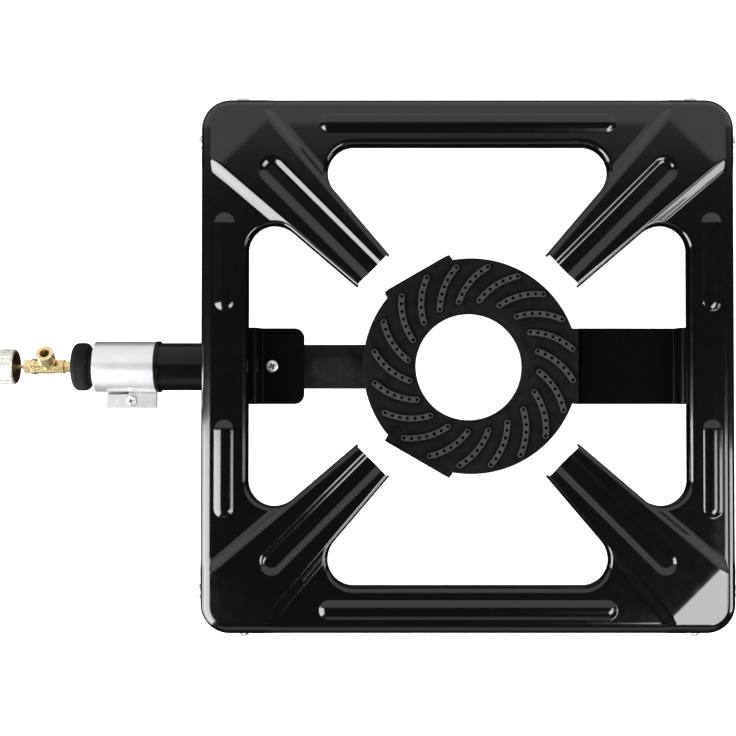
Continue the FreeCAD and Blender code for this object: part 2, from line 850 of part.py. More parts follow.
def air_shutter():
    """Rolled sleeve round the tube, split towards -Y between two clamp tabs."""
    split_low = axis_z - tab_gap / 2
    split_high = axis_z + tab_gap / 2
    body = fuse_all([
        rod(sleeve_r, sleeve_left, sleeve_right),
        box(tab_left, sleeve_right, -tab_reach, -sleeve_bore_r, split_high, split_high + sleeve_sheet),
        box(tab_left, sleeve_right, -tab_reach, -sleeve_bore_r, split_low - sleeve_sheet, split_low),
    ])
    body = body.cut(rod(sleeve_bore_r, sleeve_left - overlap, sleeve_right + overlap))
    past = (sleeve_left - overlap, sleeve_right + overlap)
    split = box(*past, -tab_reach - overlap, 0, split_low, split_high)
    slit_y = -sleeve_r - tab_slit_width
    slit = box(tab_left - overlap, tab_left + tab_slit, slit_y, -sleeve_r, axis_z, axis_z + sleeve_r)
    hole = post(tab_screw_r + hole_play, tab_screw_x, tab_screw_y, axis_z - sleeve_r, axis_z + sleeve_r)
    return body.cut(split).cut(slit).cut(hole)


def shutter_screw():
    seat = axis_z + tab_gap / 2 + sleeve_sheet
    grip = tab_gap + 2 * sleeve_sheet + tab_nut_height + tab_screw_past_nut
    screw = pan_screw(tab_screw_r, tab_screw_head_r, tab_screw_head, grip)
    screw.translate(V(tab_screw_x, tab_screw_y, seat))
    return screw


def shutter_nut():
    nut = hexagon(tab_nut_flats, tab_nut_height)
    nut = nut.cut(post(tab_screw_r + fit_play, 0, 0, -overlap, tab_nut_height + overlap))
    nut.translate(V(tab_screw_x, tab_screw_y, axis_z - tab_gap / 2 - sleeve_sheet - tab_nut_height))
    return nut


def injector():
    """Brass jet between the mixer head and the valve outlet."""
    wall_end = bell_left + bell_wall
    body = fuse_all([
        rod(jet_stub_r, jet_left - jet_stub_length, jet_left),
        hexagon_x(jet_flats, jet_left, bell_left),
        rod(jet_thread_r, bell_left, wall_end),
        taper(jet_nose_r, jet_nose_tip_r, wall_end, wall_end + jet_nose_length),
    ])
    tip = wall_end + jet_nose_length
    body = body.cut(rod(jet_bore_r, jet_left - jet_stub_length - overlap, tip - jet_tip_wall))
    return body.cut(rod(jet_hole_r, wall_end, tip + overlap))


def on_branch(shape):
    """Move a shape standing on the XY plane to the inlet branch, tilted from +Z towards +Y."""
    shape.rotate(ORIGIN, ALONG, -branch_tilt)
    shape.translate(V(outlet_left - branch_back, 0, axis_z))
    return shape


def inlet_branch():
    return on_branch(fuse_all([
        post(branch_root_r, 0, 0, 0, branch_root),
        Part.makeCone(branch_root_r, branch_r, branch_cone, V(0, 0, branch_root), UP),
        post(branch_r, 0, 0, branch_root + branch_cone, branch_reach),
    ]))


def valve_body():
    seat = outlet_left - valve_seat_length
    pieces = [
        hexagon_x(valve_outlet_flats, outlet_left, jet_left),
        rod(valve_barrel_r, barrel_left, outlet_left),
        rod(valve_collar_r, valve_left, barrel_left),
        rod(valve_nose_r, valve_left - valve_nose_length, valve_left),
        inlet_branch(),
    ]
    body = fuse_all(pieces)
    body = body.cut(rod(valve_bore_r, valve_left - valve_nose_length - overlap, seat))
    body = body.cut(rod(jet_stub_r + fit_play, outlet_left, jet_left + overlap))
    body = body.cut(rod(valve_seat_r, seat - overlap, outlet_left + overlap))
    bore = on_branch(post(branch_bore_r, 0, 0, 0, branch_reach + overlap))
    keep = rod(valve_bore_r + overlap, seat, jet_left)
    return body.cut(bore.cut(keep))


def gland_nut():
    nut = hexagon_x(gland_flats, gland_left, valve_left)
    nut = nut.cut(rod(valve_nose_r + fit_play, gland_left + gland_wall, valve_left + overlap))
    return nut.cut(rod(spindle_r + spindle_play, gland_left - overlap, valve_left))


def spindle_marks():
    """Places along the spindle: needle tip and root, screw ends, seal groove ends. It is shut."""
    seat = outlet_left - valve_seat_length
    bite = (valve_seat_r - needle_clear - needle_tip_r) / (spindle_r - needle_tip_r)
    tip = seat + bite * needle_length
    needle = tip - needle_length
    screw_right = needle - gas_room
    screw_left = screw_right - spindle_screw_length
    seal_left = screw_left - 2 * ring_wire_r - 2 * ring_side_play
    return tip, needle, screw_right, screw_left, seal_left


def valve_spindle():
    tip, needle, screw_right, screw_left, seal_left = spindle_marks()
    hub_end = knob_left + knob_face
    land_r = valve_bore_r - spindle_play
    body = fuse_all([
        taper(spindle_r, needle_tip_r, needle, tip),
        rod(land_r, screw_left, screw_right),
        rod(land_r, seal_left - ring_land, seal_left),
        rod(spindle_r, hub_end, needle),
    ])
    return body.cut(rod(knob_screw_r + fit_play, hub_end - overlap, hub_end + knob_screw_grip))


def spindle_seal():
    seal_right, seal_left = spindle_marks()[3:]
    middle = (seal_right + seal_left) / 2
    major = valve_bore_r - ring_bite - ring_wire_r
    return Part.makeTorus(major, ring_wire_r, V(middle, 0, axis_z), ALONG)


def control_knob():
    """Fluted cup with a hub on the spindle, open towards the valve."""
    cup = rod(knob_r, knob_left, knob_right)
    cup = cup.makeChamfer(knob_bevel, [e for e in cup.Edges if e.Closed])
    cup = cup.cut(rod(knob_r - knob_wall, knob_left + knob_face, knob_right + overlap))
    cup = cup.fuse(rod(knob_hub_r, knob_left + knob_face / 2, knob_right - knob_hub_short))
    flute = rod(knob_flute_r, knob_left - overlap, knob_right + overlap)
    flute.translate(V(0, 0, knob_r + knob_flute_r / 2))
    flutes = []
    for k in range(knob_flutes):
        cutter = flute.copy()
        cutter.rotate(V(0, 0, axis_z), ALONG, 360 / knob_flutes * k)
        flutes.append(cutter)
    cup = cup.cut(Part.makeCompound(flutes))
    cup = cup.cut(rod(spindle_r + fit_play, knob_left + knob_face, knob_right + overlap))
    cup = cup.cut(rod(knob_screw_r + fit_play, knob_left - overlap, knob_right))
    return cup.cut(rod(knob_screw_head_r + fit_play, knob_left - overlap, knob_left + knob_screw_head))


def knob_screw():
    screw = rod(knob_screw_head_r, knob_left, knob_left + knob_screw_head)
    end = knob_left + knob_face + knob_screw_grip - knob_screw_end_gap
    return screw.fuse(rod(knob_screw_r, knob_left, end))


def main():
    os.makedirs("parts", exist_ok=True)
    save(top_frame(), "top_frame")
    for name, sx, sy in (
        ("leg_front_left", -1, -1),
        ("leg_front_right", 1, -1),
        ("leg_rear_left", -1, 1),
        ("leg_rear_right", 1, 1),
    ):
        save(leg(sx, sy), name)
    builders = (
        leg_screws, leg_nuts, inlet_strap, burner_strap, neck_screw, strap_screws,
        burner_cap, burner_bowl, cap_screws, mixing_tube, mixer_head,
        air_shutter, shutter_screw, shutter_nut, injector, valve_body, gland_nut,
        valve_spindle, spindle_seal, control_knob, knob_screw,
    )
    for builder in builders:
        save(builder(), builder.__name__)


main()
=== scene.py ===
import json
import math
from collections import namedtuple

import bpy
import numpy as np
from mathutils import Matrix, Vector, kdtree
from mathutils.geometry import delaunay_2d_cdt


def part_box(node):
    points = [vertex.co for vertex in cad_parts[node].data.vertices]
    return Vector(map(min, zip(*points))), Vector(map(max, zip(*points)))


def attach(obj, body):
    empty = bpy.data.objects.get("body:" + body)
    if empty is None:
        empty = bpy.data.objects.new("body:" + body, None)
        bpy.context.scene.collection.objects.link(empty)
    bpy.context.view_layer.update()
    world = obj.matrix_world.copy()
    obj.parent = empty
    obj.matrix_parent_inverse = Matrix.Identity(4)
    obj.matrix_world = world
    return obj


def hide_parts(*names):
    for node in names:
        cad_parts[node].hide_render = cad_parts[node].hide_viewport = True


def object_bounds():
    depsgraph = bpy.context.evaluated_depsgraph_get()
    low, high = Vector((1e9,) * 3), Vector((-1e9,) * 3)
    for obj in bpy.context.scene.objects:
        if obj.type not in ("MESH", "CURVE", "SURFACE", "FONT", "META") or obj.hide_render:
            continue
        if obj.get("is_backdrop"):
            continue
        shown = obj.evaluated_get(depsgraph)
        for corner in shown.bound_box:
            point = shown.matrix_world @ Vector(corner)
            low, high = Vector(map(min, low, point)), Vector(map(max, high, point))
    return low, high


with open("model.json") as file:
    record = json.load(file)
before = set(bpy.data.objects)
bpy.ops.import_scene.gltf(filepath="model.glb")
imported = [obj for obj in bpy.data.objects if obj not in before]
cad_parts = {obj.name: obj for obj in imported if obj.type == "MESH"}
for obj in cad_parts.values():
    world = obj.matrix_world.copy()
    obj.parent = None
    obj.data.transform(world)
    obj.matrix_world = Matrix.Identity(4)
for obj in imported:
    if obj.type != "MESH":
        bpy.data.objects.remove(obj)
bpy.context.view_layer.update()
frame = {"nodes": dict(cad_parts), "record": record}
nodes = frame["nodes"]

# Shapes are worked out in millimetres of the row frame and written in metres
MM = 0.001
ROOT2 = math.sqrt(2)

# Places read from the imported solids
frame_low, frame_high = (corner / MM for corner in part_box("top_frame"))
cap_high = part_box("burner_cap")[1] / MM
FRAME_X = (frame_low.x + frame_high.x) / 2
FRAME_HALF = (frame_high.x - frame_low.x) / 2
POT_Z = frame_high.z
SKIRT_Z = frame_low.z
CAP_TOP = cap_high.z

# Gas line, with the inside of the knob's cup
line_low, line_high = (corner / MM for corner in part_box("mixing_tube"))
knob_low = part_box("control_knob")[0] / MM
AXIS_Z = (line_low.z + line_high.z) / 2
KNOB_FLOOR = 2.5
KNOB_CUP_R = 12.4
KNOB_CUP_X = knob_low.x + KNOB_FLOOR
KNOB_CUP_BLEND = 0.3

# Pressed frame, with the names and sizes of the part's source
ARM_RISE = 6.5
RAIL_Z = POT_Z - ARM_RISE
SHEET = 1.5
RAIL_WIDTH = 35.5
FLANGE_Z = RAIL_Z - 13.0
CORNER_RADIUS = 22.0
OUTER_ROUND = 10.0
RAIL_ROUND = 5.0
RAIL_CROWN = math.tan(math.radians(2.5))
CROWN_EASE = 3.0
OPENING_CORNER = 20.0
ARM_TIP = 100.5
ARM_TIP_HALF = 16.8
ARM_FLARE = math.tan(math.radians(4.6))
ARM_DRAFT = math.tan(math.radians(1.5))
ARM_ROUND = 2.6
PAD_FOOT = 4.0
PAD_RUN = 6.4
PAD_EASE = 2.0
FACET_RUN = 37.7
FACET_SLOPE = math.tan(math.radians(8))
FACET_EASE = 3.5
FACET_BLEND = 0.5
GROOVE_BEFORE_FACET = 21.5
GROOVE_HALF = 9.0
GROOVE_RUN = 4.0
GROOVE_DEPTH = 2.5
GROOVE_EASE = 1.5
BEAD_LINE = FRAME_HALF - 18.5
BEAD_HALF = 7.2
BEAD_HEIGHT = 2.3
BEAD_EASE = 0.35
BEAD_R = (BEAD_HALF ** 2 + BEAD_HEIGHT ** 2) / (2 * BEAD_HEIGHT)
BEAD_LONG_GAP = 27.3
BEAD_SHORT_GAP = 24.5
BEAD_SHORT_FROM = 40.8
RAIL_INNER = FRAME_HALF - RAIL_WIDTH
FACET_START = ROOT2 * FRAME_HALF - (ROOT2 - 1) * CORNER_RADIUS - FACET_RUN
GROOVE_END = FACET_START - GROOVE_BEFORE_FACET

# Port ring
RIB_HEIGHT = 1.5
RIB_HALF = 2.9
RIB_RUN = 0.8
RIB_EASE = 0.35
RIB_COUNT = 20
RIB_PHASE = 12.8
RIB_SWEEP = 20.9
RIB_SHIFT = 2.0
RIB_BOW = 3.1
PORT_COUNT = 7
PORT_R = 1.25
PORT_SIDES = 14
RING_R = 82.0
RING_HOLE_R = 42.0
RING_X = cap_high.x - RING_R
PORT_FROM_R = RING_HOLE_R + 8.0
PORT_TO_R = RING_R - 6.1
RING_PAD_HALF = 28.5
RING_PAD_CORNER = 1.6
RING_PAD_CORNER_END = 2.0
RING_EDGE = 1.5
CAP_THICK = 6.0
PLATE_Z = CAP_TOP - RIB_HEIGHT
WORN_FROM_Z = CAP_TOP - 0.8
WORN_FULL_Z = CAP_TOP - 0.15

# Screws, which stand for the plain ones of the nodes
ScrewSize = namedtuple("ScrewSize", "radius head_r head pitch")
SCREW_SIZES = {
    "neck_screw": ScrewSize(2.5, 4.8, 3.2, 0.8),
    "shutter_screw": ScrewSize(1.9, 3.6, 2.4, 0.7),
    "leg_screws": ScrewSize(2.9, 5.2, 3.8, 1.0),
    "strap_screws": ScrewSize(2.5, 4.8, 3.2, 0.8),
    "knob_screw": ScrewSize(0.8, 2.0, 1.4, 0.4),
}
LEG_SCREW_GRIP = 9.5
LEG_SCREW_FROM_CORNER = 8.0
LEG_SCREW_ALONG = FRAME_HALF - CORNER_RADIUS - LEG_SCREW_FROM_CORNER
FIRST_HEAD_TURN = 0.5
NEXT_HEAD_TURN = 1.9

# Screw heads, as shares of the head's radius or height
HEAD_RIM = 0.38
HEAD_RIM_DROP = 0.62
HEAD_DOME = 0.1
CROSS_ARM = 0.56
CROSS_HALF = 0.15
CROSS_DEPTH = 0.6
HEAD_SIDES = 48

# Threads: points around, rows a turn, and depth as a share of the pitch
THREAD_SIDES = 20
THREAD_ROWS = 6
THREAD_DEPTH = 0.3

# Meshes: distance of points along edges, on flat areas and in bends
FRAME_EDGE_STEP = 1.6
FRAME_FLAT_STEP = 3.4
FRAME_BEND_STEP = 0.85
RING_EDGE_STEP = 1.3
RING_FLAT_STEP = 2.4
RING_BEND_STEP = 0.6
RING_HOLE_SIDES = 220
RIB_LINE_POINTS = 13

# An area counts as bent where its height changes by more than the limit within the reach
BEND_REACH = 1.3
BEND_LIMIT = 0.004
BEND_WAYS = (
    (1, 0), (-1, 0), (0, 1), (0, -1),
    (0.7, 0.7), (0.7, -0.7), (-0.7, 0.7), (-0.7, -0.7),
)
BORDER_GAP = 0.55
MERGE_DISTANCE = 1e-7


# Surfaces built in code

class Skin:
    """Points, their normals and faces of a surface that is being put together."""

    def __init__(self):
        self.points = np.zeros((0, 3))
        self.normals = np.zeros((0, 3))
        self.faces = []

    def add(self, points, normals):
        start = len(self.points)
        self.points = np.vstack([self.points, points])
        self.normals = np.vstack([self.normals, normals])
        return np.arange(start, start + len(points))

    def join(self, other, matrix=None):
        points, normals = other.points, other.normals
        if matrix is not None:
            turn = np.array(matrix.to_3x3())
            points = points @ turn.T + np.array(matrix.translation)
            normals = normals @ turn.T
        places = self.add(points, normals)
        self.faces += [tuple(int(places[i]) for i in face) for face in other.faces]

    def strip(self, row_a, row_b, closed):
        n = len(row_a)
        for i in range(n if closed else n - 1):
            j = (i + 1) % n
            self.faces.append((int(row_a[i]), int(row_a[j]), int(row_b[j]), int(row_b[i])))

    def face_out(self):
        """Turn every face to the side of its points' normals."""
        turned = []
        for face in self.faces:
            a, b, c = (self.points[i] for i in face[:3])
            across = np.cross(b - a, c - a)
            if len(face) == 4:
                across = np.cross(c - a, self.points[face[3]] - b)
            mean = self.normals[list(face)].sum(0)
            turned.append(face if across @ mean >= 0 else face[::-1])
        self.faces = turned

    def piece(self, name, material):
        mesh = bpy.data.meshes.new(name)
        mesh.from_pydata((self.points * MM).tolist(), [], self.faces)
        mesh.polygons.foreach_set("use_smooth", [True] * len(mesh.polygons))
        mesh.normals_split_custom_set_from_vertices(self.normals.tolist())
        mesh.materials.append(material)
        obj = bpy.data.objects.new(name, mesh)
        bpy.context.scene.collection.objects.link(obj)
        return obj


def unit(rows):
    return rows / np.linalg.norm(rows, axis=-1, keepdims=True)


def bend(t, ease):
    """Smooth form of max(t, 0), round over ease on both sides of 0."""
    return np.where(t < -ease, 0.0, np.where(t > ease, t, (t + ease) ** 2 / (4 * ease)))


def ramp(t, run, ease):
    """From 0 at t = 0 to 1 at t = run, with both bends rounded."""
    return (bend(t, ease) - bend(t - run, ease)) / run


def lowest(a, b, ease):
    return a - bend(a - b, ease)


def slope_normals(height, xy):
    """Normals of the surface z = height(x, y)."""
    step = 0.05
    x, y = xy[:, 0], xy[:, 1]
    dx = (height(x + step, y) - height(x - step, y)) / (2 * step)
    dy = (height(x, y + step) - height(x, y - step)) / (2 * step)
    return unit(np.stack([-dx, -dy, np.ones(len(xy))], axis=1))


def contains(loop, xy):
    """Which points lie inside a closed loop."""
    inside = np.zeros(len(xy), bool)
    x, y = xy[:, 0], xy[:, 1]
    for (ax, ay), (bx, by) in zip(loop, np.roll(loop, -1, axis=0)):
        if ay == by:
            continue
        cross = ((ay > y) != (by > y)) & (x < (bx - ax) * (y - ay) / (by - ay) + ax)
        inside ^= cross
    return inside


def in_area(loops, xy):
    keep = contains(loops[0], xy)
    for hole in loops[1:]:
        keep &= ~contains(hole, xy)
    return keep


def grid(low, high, step):
    """Points of a triangular grid over a box."""
    rows = np.arange(low[1], high[1], step * math.sqrt(3) / 2)
    points = []
    for k, y in enumerate(rows):
        xs = np.arange(low[0] + (k % 2) * step / 2, high[0], step)
        points.append(np.stack([xs, np.full(len(xs), y)], axis=1))
    return np.vstack(points)


def inner_points(loops, height, coarse, fine):
    """Points inside the area: close together where the surface slopes or bends, else wider apart."""
    border = np.vstack(loops)
    low, high = border.min(0), border.max(0)
    tree = kdtree.KDTree(len(border))
    for i, (x, y) in enumerate(border):
        tree.insert((x, y, 0), i)
    tree.balance()
    kept = []
    for step, bent in ((fine, True), (coarse, False)):
        xy = grid(low, high, step)
        x, y = xy[:, 0], xy[:, 1]
        here = height(x, y)
        spread = np.zeros(len(xy))
        for sx, sy in BEND_WAYS:
            beside = height(x + BEND_REACH * sx, y + BEND_REACH * sy)
            spread = np.maximum(spread, abs(beside - here))
        xy = xy[(spread > BEND_LIMIT) == bent]
        xy = xy[in_area(loops, xy)]
        far = [tree.find((px, py, 0))[2] > BORDER_GAP * fine for px, py in xy]
        kept.append(xy[np.array(far, bool)])
    return np.vstack(kept)


def field(loops, height, coarse, fine):
    """Skin of z = height(x, y) inside the first loop and outside the others.

    The points of the loops come first in it.
    """
    border = np.vstack(loops)
    points = np.vstack([border, inner_points(loops, height, coarse, fine)])
    edges = []
    start = 0
    for loop in loops:
        n = len(loop)
        edges += [(start + i, start + (i + 1) % n) for i in range(n)]
        start += n
    made = delaunay_2d_cdt([Vector(p) for p in points], edges, [], 0, MERGE_DISTANCE)
    origin = np.array([ids[0] for ids in made[3]])
    triangles = origin[np.array(made[2])]
    doubtful = np.flatnonzero((triangles < len(border)).all(1))
    middles = points[triangles[doubtful]].mean(1)
    outside = doubtful[~in_area(loops, middles)]
    triangles = np.delete(triangles, outside, axis=0)
    skin = Skin()
    z = height(points[:, 0], points[:, 1])
    skin.add(np.column_stack([points, z]), slope_normals(height, points))
    skin.faces = [tuple(int(i) for i in t) for t in triangles]
    return skin


def line(a, b, step):
    """Points from a towards b, without b."""
    a, b = np.array(a, float), np.array(b, float)
    n = max(1, int(round(np.linalg.norm(b - a) / step)))
    return [a + (b - a) * i / n for i in range(n)]


def fillet(a, corner, b, radius, step):
    """Points of the arc that rounds a corner between its neighbours a and b, both ends included."""
    a, corner, b = (np.array(p, float) for p in (a, corner, b))
    da, db = unit(a - corner), unit(b - corner)
    half = math.acos(np.clip(da @ db, -1, 1)) / 2
    centre = corner + unit(da + db) * radius / math.sin(half)
    start = corner + da * radius / math.tan(half) - centre
    end = corner + db * radius / math.tan(half) - centre
    sweep = math.copysign(math.pi - 2 * half, start[0] * end[1] - start[1] * end[0])
    n = max(3, int(math.ceil(abs(sweep) * radius / step)))
    points = []
    for i in range(n + 1):
        c, s = math.cos(sweep * i / n), math.sin(sweep * i / n)
        points.append(centre + np.array([c * start[0] - s * start[1], s * start[0] + c * start[1]]))
    return points


def rounded(corners, radius, step):
    """Closed outline through the corners, each rounded by the radius."""
    n = len(corners)
    arcs = []
    for i in range(n):
        before, here, after = corners[i - 1], corners[i], corners[(i + 1) % n]
        arcs.append(fillet(before, here, after, radius, step))
    points = []
    for i in range(n):
        points += arcs[i][:-1]
        points += line(arcs[i][-1], arcs[(i + 1) % n][0], step)
    return np.array(points)


def sideways(chain, closed):
    """Unit directions to the right of travel along a chain of points."""
    if closed:
        ahead = np.roll(chain, -1, axis=0) - np.roll(chain, 1, axis=0)
    else:
        ahead = np.gradient(chain, axis=0)
    ahead = unit(ahead)
    return np.stack([ahead[:, 1], -ahead[:, 0]], axis=1)


def edge_rows(skin, row, out, reach, drop, foot, flare, closed, rounds=8, walls=3):
    """Round the surface over at a chain of its points and take it down to the foot."""
    start = skin.points[row]
    before = row
    for k in range(1, rounds + walls + 1):
        if k <= rounds:
            turn = math.pi / 2 * k / rounds
            away = reach * math.sin(turn) * np.ones(len(row))
            z = start[:, 2] - drop * (1 - math.cos(turn))
            flat = math.cos(turn) * reach * np.ones(len(row))
            steep = math.sin(turn) * drop
        else:
            share = (k - rounds) / walls
            fall = (start[:, 2] - drop - foot) * share
            away = reach + fall * flare
            z = start[:, 2] - drop - fall
            flat = flare * np.ones(len(row))
            steep = np.ones(len(row))
        points = np.column_stack([start[:, :2] + out * away[:, None], z])
        normals = unit(np.column_stack([out * (steep * np.ones(len(row)))[:, None], flat]))
        after = skin.add(points, normals)
        skin.strip(before, after, closed)
        before = after
    return before


def shell(skin, thickness):
    """Sheet of that thickness under a skin, with its cut edges closed."""
    skin.face_out()
    count = {}
    for face in skin.faces:
        for a, b in zip(face, face[1:] + face[:1]):
            key = (a, b) if a < b else (b, a)
            count[key] = None if key in count else (a, b)
    made = Skin()
    made.add(skin.points, skin.normals)
    made.faces = list(skin.faces)
    low = skin.points - skin.normals * thickness
    under = made.add(low, -skin.normals)
    made.faces += [tuple(int(under[i]) for i in face[::-1]) for face in skin.faces]
    rims = [edge for edge in count.values() if edge]
    corners = np.array([[skin.points[b], skin.points[a], low[a], low[b]] for a, b in rims])
    across = np.cross(corners[:, 1] - corners[:, 0], corners[:, 3] - corners[:, 0])
    has_area = np.linalg.norm(across, axis=1, keepdims=True) > 1e-9
    flat = unit(np.where(has_area, across, [[0, 0, -1.0]]))
    places = made.add(corners.reshape(-1, 3), np.repeat(flat, 4, axis=0))
    made.faces += [tuple(int(i) for i in quad) for quad in places.reshape(-1, 4)]
    return made


# Pressed frame

def arm_half(u, shift):
    """Half the width of an arm at u along it, moved out by a shift."""
    return ARM_TIP_HALF + (u - ARM_TIP) * ARM_FLARE + shift


def bead_end(gap):
    """Place along a rail where a bead ends, by its gap to the foot of the arm."""
    foot = (ROOT2 * BEAD_LINE - arm_half(0, PAD_FOOT)) / (1 + ARM_FLARE)
    return ROOT2 * foot - BEAD_LINE - gap


def frame_height(x, y):
    """Top face of the pressing, measured from the middle of the frame."""
    ax, ay = abs(x), abs(y)
    u = (ax + ay) / ROOT2
    v = abs(ax - ay) / ROOT2
    rise = ARM_RISE * ramp(arm_half(u, PAD_FOOT) - v, PAD_RUN, PAD_EASE)
    facet = ARM_RISE - FACET_SLOPE * bend(u - FACET_START, FACET_EASE)
    rise = lowest(rise, facet, FACET_BLEND)
    along = np.maximum(u - GROOVE_END + GROOVE_HALF, 0)
    groove = GROOVE_DEPTH * ramp(GROOVE_HALF - np.hypot(along, v), GROOVE_RUN, GROOVE_EASE)
    long_end = bead_end(BEAD_LONG_GAP) - BEAD_HALF
    short_mid = (bead_end(BEAD_SHORT_GAP) + BEAD_SHORT_FROM) / 2
    short_end = (bead_end(BEAD_SHORT_GAP) - BEAD_SHORT_FROM) / 2 - BEAD_HALF
    to_long = np.hypot(np.maximum(ax - long_end, 0), ay - BEAD_LINE)
    to_short = np.hypot(np.maximum(abs(ay - short_mid) - short_end, 0), ax - BEAD_LINE)
    off = np.minimum(np.minimum(to_long, to_short), BEAD_R)
    bead = bend(np.sqrt(BEAD_R ** 2 - off ** 2) - BEAD_R + BEAD_HEIGHT, BEAD_EASE)
    crown = RAIL_CROWN * bend(np.maximum(ax, ay) - BEAD_LINE, CROWN_EASE) * (1 - rise / ARM_RISE)
    return RAIL_Z + rise - groove + bead - crown


def quarter_turn(points, k):
    c, s = (1, 0, -1, 0)[k % 4], (0, 1, 0, -1)[k % 4]
    points = np.array(points)
    return np.stack([c * points[:, 0] - s * points[:, 1], s * points[:, 0] + c * points[:, 1]], axis=1)


def opening_side(step):
    """Inset edge of the opening from one arm's tip along a rail to the next tip, and its insets."""
    half = RAIL_INNER + RAIL_ROUND
    shift = -ARM_ROUND
    u = (ROOT2 * half - arm_half(0, shift)) / (1 + ARM_FLARE)
    root = np.array([(u + arm_half(u, shift)) / ROOT2, (u - arm_half(u, shift)) / ROOT2])
    v = arm_half(ARM_TIP, shift)
    tip = np.array([(ARM_TIP + v) / ROOT2, (ARM_TIP - v) / ROOT2])
    mirror = np.array([1, -1])
    arc = fillet(tip, root, root * mirror, OPENING_CORNER + (ARM_ROUND + RAIL_ROUND) / 2, step)
    straight = line(tip, arc[0], step)
    upper = straight + arc
    inset = [ARM_ROUND] * len(straight) + list(np.linspace(ARM_ROUND, RAIL_ROUND, len(arc)))
    lower = [p * mirror for p in upper[::-1]]
    middle = line(upper[-1], lower[0], step)[1:]
    inset = inset + [RAIL_ROUND] * len(middle) + inset[::-1]
    return np.array(upper + middle + lower), np.array(inset)


def frame_shell(material):
    """Pressed sheet with rails, beads, raised corners and grooved arms."""
    step = FRAME_EDGE_STEP
    half = FRAME_HALF - OUTER_ROUND
    square = [(half, -half), (half, half), (-half, half), (-half, -half)]
    outer = rounded(square, CORNER_RADIUS - OUTER_ROUND, step)
    side, inset = opening_side(step)
    side = side[::-1]
    chains = []
    inner = []
    for k in range(4):
        chain = quarter_turn(side, k)
        chains.append((len(outer) + len(inner), chain))
        inner += list(chain)
        after = quarter_turn(side[:1], k + 1)[0]
        inner += line(chain[-1], after, step)[1:]
    skin = field([outer, np.array(inner)], frame_height, FRAME_FLAT_STEP, FRAME_BEND_STEP)
    row = np.arange(len(outer))
    heights = skin.points[row][:, 2]
    drop = heights - RAIL_Z + OUTER_ROUND
    edge_rows(skin, row, sideways(outer, True), OUTER_ROUND, drop, SKIRT_Z, 0, True)
    for start, chain in chains:
        row = np.arange(start, start + len(chain))
        heights = skin.points[row][:, 2]
        flare = ARM_DRAFT * np.clip((heights - RAIL_Z) / ARM_RISE, 0, 1)
        edge_rows(skin, row, -sideways(chain, False), inset, inset, FLANGE_Z, flare, False)
    skin.points[:, 0] += FRAME_X
    return shell(skin, SHEET).piece("frame_shell", material)


# Port ring

def polar(radius, angle):
    return np.array([radius * math.cos(math.radians(angle)), radius * math.sin(math.radians(angle))])


def rib_line(count):
    """Points along the middle of one rib."""
    a = polar(PORT_FROM_R, RIB_PHASE)
    b = polar(PORT_TO_R, RIB_PHASE - RIB_SWEEP)
    chord = b - a
    length = np.linalg.norm(chord)
    side = np.array([-chord[1], chord[0]]) / length
    radius = (length ** 2 / 4 + RIB_BOW ** 2) / (2 * RIB_BOW)
    centre = (a + b) / 2 + side * (RIB_BOW - radius)
    start = math.atan2(*(a - centre)[::-1])
    end = math.atan2(*(b - centre)[::-1])
    turns = np.linspace(start, end, count)
    return np.stack([centre[0] + radius * np.cos(turns), centre[1] + radius * np.sin(turns)], axis=1)


def turned(points, angle):
    c, s = math.cos(math.radians(angle)), math.sin(math.radians(angle))
    return np.stack([c * points[:, 0] - s * points[:, 1], s * points[:, 0] + c * points[:, 1]], axis=1)


RIB_LINE = rib_line(RIB_LINE_POINTS)


def to_rib(x, y):
    """Distance to the middle line of the nearest rib."""
    step = 2 * math.pi / RIB_COUNT
    radius = np.hypot(x, y)
    share = (radius - PORT_FROM_R) / (PORT_TO_R - PORT_FROM_R)
    swirl = math.radians(RIB_PHASE) - math.radians(RIB_SWEEP) * share
    best = np.full(np.shape(x), np.inf)
    turn = np.round((np.arctan2(y, x) - swirl) / step)
    for near_by in (-1, 0, 1):
        angle = -(turn + near_by) * step
        px = np.cos(angle) * x - np.sin(angle) * y
        py = np.sin(angle) * x + np.cos(angle) * y
        for a, b in zip(RIB_LINE, RIB_LINE[1:]):
            d = b - a
            along = np.clip(((px - a[0]) * d[0] + (py - a[1]) * d[1]) / (d @ d), 0, 1)
            best = np.minimum(best, np.hypot(px - a[0] - along * d[0], py - a[1] - along * d[1]))
    return best


def cap_height(x, y):
    """Top face of the ring, measured from its middle."""
    return PLATE_Z + RIB_HEIGHT * ramp(RIB_HALF - to_rib(x - RIB_SHIFT, y), RIB_RUN, RIB_EASE)


def cap_outline(inset, step):
    """Edge of the ring with its three flat pads."""
    radius = RING_R - inset
    half = RING_PAD_HALF - inset
    face = RING_R - inset
    foot = math.degrees(math.asin(half / radius))
    foot_x = radius * math.cos(math.radians(foot))
    corner = [(foot_x, -half), (face, -half), (face, half), (foot_x, half)]
    end = half - RING_PAD_CORNER_END
    points = []
    for k in range(3):
        pad = line(corner[0], corner[1], step)[:-1]
        pad += fillet(corner[0], corner[1], corner[2], RING_PAD_CORNER, step / 2)
        pad += line((face, -end), (face, end), step)[1:]
        pad += fillet(corner[1], corner[2], corner[3], RING_PAD_CORNER, step / 2)
        pad += line(corner[2], corner[3], step)[2:]
        points += list(turned(np.array(pad), 120 * k))
        sweep = 120 - 2 * foot
        n = int(math.radians(sweep) * radius / step)
        points += [polar(radius, 120 * k + foot + sweep * i / n) for i in range(n)]
    return np.array(points)


